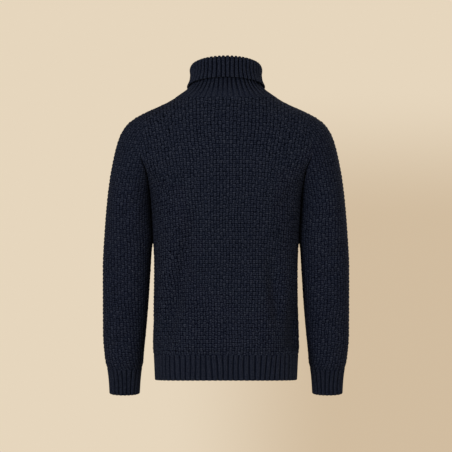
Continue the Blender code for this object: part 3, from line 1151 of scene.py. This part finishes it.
def basket_tone(wale, course, depth):
    """Where the knit blocks lie, and the tone: painted shade in the gaps, painted light on purl blocks."""
    row = course * (1 / COURSES)
    column, line = wale.floor(), row.floor()
    knit = ((column + line) * 0.5).fraction() > 0.25
    block = wale.node("ShaderNodeCombineXYZ", sockets={"X": column, "Y": line})
    chance = wale.node("ShaderNodeTexWhiteNoise", {"noise_dimensions": "2D"}, {"Vector": block}, "Value")
    side_gap = (wale.off_middle() * 2.0).soft(0.5, 1.0)
    course_gap = (course.off_middle() * 2.0).soft(0.4, 1.0)
    end_gap = (row.off_middle() * 2.0).soft(0.55, 1.0)
    # Painted shade: darker in the side gaps, between courses, at block ends, and most where gaps cross
    tone = (1.0 - side_gap * SIDE_GAP_SHADE * depth) * (1.0 - course_gap * COURSE_GAP_SHADE * depth)
    tone = tone * (1.0 - end_gap * END_GAP_SHADE * depth) * (1.0 - side_gap * course_gap)
    # Painted light: purl blocks lighter than knit ones, as if their bars caught the light from above
    tone = tone * (PURL_LIT_TONE - knit * (PURL_LIT_TONE - KNIT_TONE))
    return knit, tone * (1.0 - BLOCK_CHANCE / 2 + chance * BLOCK_CHANCE)


def rib_tone(wale, course, valley, opened, wide):
    """Where the ridges' knit wales lie, and the tone: painted shade in the valleys and between wales."""
    place = (wale * (1 / RIB_STITCHES)).fraction()
    knit = place < RIDGE_END
    # Painted shade: darkest at the bottom of each valley, lighter near the seam, dark between a ridge's wales
    lowest = valley + (1.0 - course.soft(1.0, 9.0)) * opened
    off_valley = (place + (1 - RIDGE_MIDDLE)).off_middle()
    tone = lowest + off_valley.soft(0.06, wide) * (1.0 - lowest)
    between_wales = 1.0 - (place - RIDGE_MIDDLE).absolute().soft(0.02, 0.08)
    return knit, tone * (1.06 - between_wales * WALE_LINE_SHADE)


def stitch_height(across, course, knit):
    """Height of the loops, where across is 0 in the middle of a wale and 0.5 at its sides."""
    off_leg = across * 4.0 - 1.0
    joint = (course - across * 0.9).off_middle() * 2.0
    legs = (1.0 - off_leg * off_leg) * (1.0 - joint * joint * joint * 0.7)
    off_bar = (course + across * across * 0.8 + 0.2).off_middle() * 2.0
    bar = (1.0 - off_bar * off_bar) * (1.0 - across * across * 2.0)
    return legs * knit + bar * (1.0 - knit)


print("the tone of a purl block is %.0f %% above that of a knit one" % (100 * (PURL_LIT_TONE / KNIT_TONE - 1)))

# %% [markdown]
# The yarn is a dark navy wool blend, a little hairy, with some lighter and some darker strands in it.
# Real hairs would be millions of curves, so noise at the size of fibres and of strands stands for them.
# Wool has hardly any gloss: what light it sends back comes off its fibres, so the finish is rough, with
# a weak sheen. Cloth worked in blocks and cloth worked in ribs share the yarn, and differ in where knit
# wales and purl bars lie.

# %%
# Knitted wool
# Yarn colours for painted shade and painted light: bluer in shade, greyer in light
YARN_IN_SHADE = (0.0106, 0.0162, 0.0402, 1)
YARN_IN_LIGHT = (0.0164, 0.0205, 0.0338, 1)
WOOL_SHEEN = (0.55, 0.62, 0.85, 1)
FIBRE_SCALE = 2600.0
STRAND_SCALE = 480.0
WEAR_SCALE = 9.0
PULL_SCALE = 130.0
LIFT_SCALE = 150.0
PULL_STRENGTH = 1.2
BUMP_HEIGHT = 0.0009


def knitted_wool(name, ribbed, painted_light_level, depth=1.0, strained=0.0, valley=0.32, opened=0.0, wide=0.2):
    """Navy wool in basket blocks or in ribs, over a UV map that counts wales and courses.

    The number after ribbed is painted light and shade: above 1 it lightens all of it, and below 1 it
    darkens it. In blocks, depth sets the painted shade in the gaps, and strained pulls the stitches
    about towards the sides. In ribs, valley is the tone of the painted shade at the bottom of a valley,
    wide is how far that painted shade reaches, and opened lightens it near the seam.
    """
    material, surface, wire = new_material(name)
    counts = wire.node("ShaderNodeUVMap", {"uv_map": "stitches"}, output="UV")
    place = wire.node("ShaderNodeTexCoord", output="Object")
    strain = PULL_STRENGTH + place.part("X").absolute().soft(0.06, 0.15) * strained
    pull = (noise(place, PULL_SCALE, detail=1.0) - 0.5) * strain
    lift = (noise(place, LIFT_SCALE, detail=1.0) - 0.5) * strain
    wale = counts.part("X") + pull * (0.4 if ribbed else 0.6)
    course = counts.part("Y") + lift
    if ribbed:
        knit, tone = rib_tone(wale, course, valley, opened, wide)
        across = (wale + (2 - RIDGE_MIDDLE * RIB_STITCHES)).off_middle()
    else:
        knit, tone = basket_tone(wale, course, depth)
        across = wale.off_middle()

    stitch = stitch_height(across, course, knit)
    fibre = noise(place, FIBRE_SCALE, rough=0.6)
    strand = noise(place, STRAND_SCALE, rough=0.6)
    # Fibre and strand noise are the yarn's own lighter and darker hairs.
    # Painted shade within each loop: the colour darkens off the stitches' legs and bars.
    shade = tone * (0.3 + stitch) * (0.72 + fibre * 0.56) * (strand * 3.6 - 0.8)
    # Painted light and shade over the whole piece: a level below 1 darkens it, above 1 lightens it
    shade = shade * (0.92 + noise(place, WEAR_SCALE) * 0.16) * painted_light_level
    shade = shade * (1.12 - shade * 0.15)
    # The hue follows the tone: the bluer yarn in painted shade, the greyer yarn in painted light
    yarn = mixed(shade.soft(0.2, 1.5), YARN_IN_SHADE, YARN_IN_LIGHT)
    colour = wire.node("ShaderNodeVectorMath", {"operation": "SCALE"}, {"Vector": yarn, "Scale": shade})
    height = stitch * 0.7 + fibre * 0.25 + strand * 0.2
    bump_sockets = {"Height": height, "Strength": 0.8, "Distance": BUMP_HEIGHT}
    bump = wire.node("ShaderNodeBump", sockets=bump_sockets, output="Normal")
    look = {"Base Color": colour, "Roughness": 0.78 + fibre * 0.2, "Normal": bump}
    gloss = {"IOR": 1.2, "Specular IOR Level": 0.05}
    sheen = {"Sheen Weight": 0.012, "Sheen Roughness": 0.5, "Sheen Tint": WOOL_SHEEN}
    feed(surface, {**look, **gloss, **sheen})
    return material


print("fibres %.1f mm apart, strands %.1f mm" % (1 / (FIBRE_SCALE * MM), 1 / (STRAND_SCALE * MM)))

# %% [markdown]
# One yarn is held in five ways. The sleeves turn away from the light, the rib is pulled in, and the
# collar is doubled and stretched, and each is painted a little lighter or darker than the back, as
# painted light and shade; the sleeves are painted darker, as painted shade. One material could carry
# all of that with a mask, but five with their own settings are simpler to tune, and they cost no more.

# %%
# Wool for each piece
WOOL = (
    (knitted_wool("navy_wool_basket", False, 0.96, strained=0.6), (back, front)),
    # Painted shade on the sleeves: darker all over, with less painted shade in their gaps
    (knitted_wool("navy_wool_sleeve", False, 0.83, depth=0.72), (sleeve_left, sleeve_right)),
    (knitted_wool("navy_wool_rib", True, 0.97, valley=0.34, wide=0.23), (hem_back, hem_front)),
    (knitted_wool("navy_wool_cuff", True, 0.92, wide=0.23), (cuff_left, cuff_right)),
    (knitted_wool("navy_wool_collar", True, 1.01, valley=0.12, opened=0.44, wide=0.27), (roll_collar,)),
)
for wool, pieces in WOOL:
    for piece in pieces:
        piece.data.materials.append(wool)
    print(wool.name, len(wool.node_tree.nodes), "nodes on", ", ".join(piece.name for piece in pieces))

# %% [markdown]
# ## Handing the skins to the frame
#
# Each skin takes the place of one solid and rides with the sweater's only body. Laid out flat, each is
# one knitted piece: two panels, two sleeves cut in at the armhole and tapered to the wrist, and rib
# strips. Their flat sizes are given here, in metres, because the shape of worn cloth doesn't tell what
# was cut or knitted.

# %%
# Skins and their flat pieces
SKINS = (
    ("back", back, "basket_knit", (0.50, 0.67), 0.29),
    ("front", front, "basket_knit", (0.51, 0.67), 0.285),
    ("sleeve_left", sleeve_left, "basket_knit", (0.41, 0.69), 0.20),
    ("sleeve_right", sleeve_right, "basket_knit", (0.41, 0.69), 0.20),
    ("hem_rib_back", hem_back, "rib_knit", (0.48, 0.061), None),
    ("hem_rib_front", hem_front, "rib_knit", (0.48, 0.061), None),
    ("cuff_left", cuff_left, "rib_knit", (0.26, 0.064), None),
    ("cuff_right", cuff_right, "rib_knit", (0.26, 0.064), None),
    ("collar", roll_collar, "rib_knit", (0.53, 0.154), None),
)
for node, piece, slot, flat, area in SKINS:
    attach(piece, "root")
    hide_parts(node)
    low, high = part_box(node)
    print(node, "solid %.0f x %.0f x %.0f mm" % tuple((high - low) / MM))

# %% [markdown]
# ## Backdrop
#
# Behind the sweater hangs a cream cloth. A sheet of it would need lamps of its own, so it is the world
# itself, which also gives the soft light all round. A direction's own parts say where on the cloth it
# points. A broad shadow lies over its lower right, and dies out to all sides.

# %%
# Backdrop
PALE_CLOTH = (0.792, 0.672, 0.510, 1)
SHADED_CLOTH = (0.640, 0.505, 0.350, 1)

scene = bpy.context.scene
scene.view_settings.view_transform = "Standard"
world = bpy.data.worlds.new("studio")
world.use_nodes = True
scene.world = world
direction = Wire(world.node_tree).node("ShaderNodeTexCoord", output="Generated")
to_right, ahead, upward = direction.part("X"), direction.part("Y"), direction.part("Z")
shadow = to_right.soft(-0.03, 0.05) * (1.0 - upward.soft(0.0, 0.062)) * (1.0 - to_right.soft(0.11, 0.2))
shadow = shadow * ahead.soft(0.9, 0.98)
cloth_colour = mixed(shadow, PALE_CLOTH, SHADED_CLOTH)
feed(world.node_tree.nodes["Background"], {"Color": cloth_colour, "Strength": 1.0})
print("backdrop:", len(world.node_tree.nodes), "nodes")

# %% [markdown]
# ## Floor
#
# The floor lies well below the sweater, which hangs as if worn. A plain square would end in a line
# before the backdrop, so it is a pale disc that fades out towards its rim. Its underside is clear, so
# that the sweater can also be looked at from below.

# %%
# Floor
FLOOR_RADIUS = 5.4
FLOOR_HEIGHT = -1.45
FLOOR_FADE = (2.0, 5.2)
FLOOR_PAINT = (0.62, 0.57, 0.47, 1)

floor_place = (0, 0, FLOOR_HEIGHT)
bpy.ops.mesh.primitive_circle_add(vertices=96, radius=FLOOR_RADIUS, fill_type="NGON", location=floor_place)
floor = bpy.context.object
floor.name = "floor"
paint, finish, ground = new_material("pale_floor")
spot = ground.node("ShaderNodeTexCoord", output="Object")
level_spot = ground.node("ShaderNodeVectorMath", {"operation": "MULTIPLY"}, {0: spot, 1: (1, 1, 0)})
distance = ground.node("ShaderNodeVectorMath", {"operation": "LENGTH"}, {0: level_spot}, "Value")
below = ground.node("ShaderNodeNewGeometry", output="Backfacing")
cover = (1.0 - distance.soft(*FLOOR_FADE)) * (1.0 - below)
feed(finish, {"Base Color": FLOOR_PAINT, "Roughness": 0.8 + noise(spot, 60.0) * 0.1, "Alpha": cover})
floor.data.materials.append(paint)
print("floor %.2f m below the shoulders" % -FLOOR_HEIGHT)

# %% [markdown]
# ## Lights and camera
#
# Dark wool needs a low, broad light that grazes the stitches, and one beside the camera would flatten
# them. The key light stands on the left, hardly higher than the shoulders, and a weak, warmer fill
# opens the shadows on the right. A third light does the same for the front. The camera stands far off
# with a long lens, so that near and far parts look equally large, and it looks straight at the back.


# %%
# Lights and camera
LIGHT_SIZE = 2.4
NEUTRAL = (1.0, 0.99, 0.97)
WARM = (1.0, 0.93, 0.88)
CAMERA_DISTANCE = 5.5
CAMERA_HEIGHT = -0.3144


def soft_light(name, place, aim, power, colour):
    """A square soft light at a place, turned to what it lights."""
    light = bpy.data.lights.new(name, "AREA")
    light.shape = "SQUARE"
    light.size = LIGHT_SIZE
    light.energy = power
    light.color = colour
    lamp = bpy.data.objects.new(name, light)
    lamp.location = place
    lamp.rotation_euler = (Vector(aim) - Vector(place)).to_track_quat("-Z", "Y").to_euler()
    scene.collection.objects.link(lamp)
    print(name, "of", power, "W at", place)


soft_light("key_light", (-3.9, -5.8, 0.6), (0, 0, -0.3), 205, NEUTRAL)
soft_light("fill_light", (4.2, -4.4, 0.4), (0, 0, -0.4), 45, WARM)
soft_light("front_light", (3.6, 5.6, 2.4), (0, 0, -0.35), 230, NEUTRAL)

camera_data = bpy.data.cameras.new("camera")
camera_data.lens = 182.5
camera_data.sensor_width = 36
camera = bpy.data.objects.new("camera", camera_data)
camera.location = (0, -CAMERA_DISTANCE, CAMERA_HEIGHT)
camera.rotation_euler = (math.radians(90), 0, 0)
scene.collection.objects.link(camera)
scene.camera = camera
print("camera %.1f m behind, lens %.1f mm" % (CAMERA_DISTANCE, camera_data.lens))

# %% [markdown]
# ## Sizes
#
# The skins stay inside the solids' box to within a few millimetres.
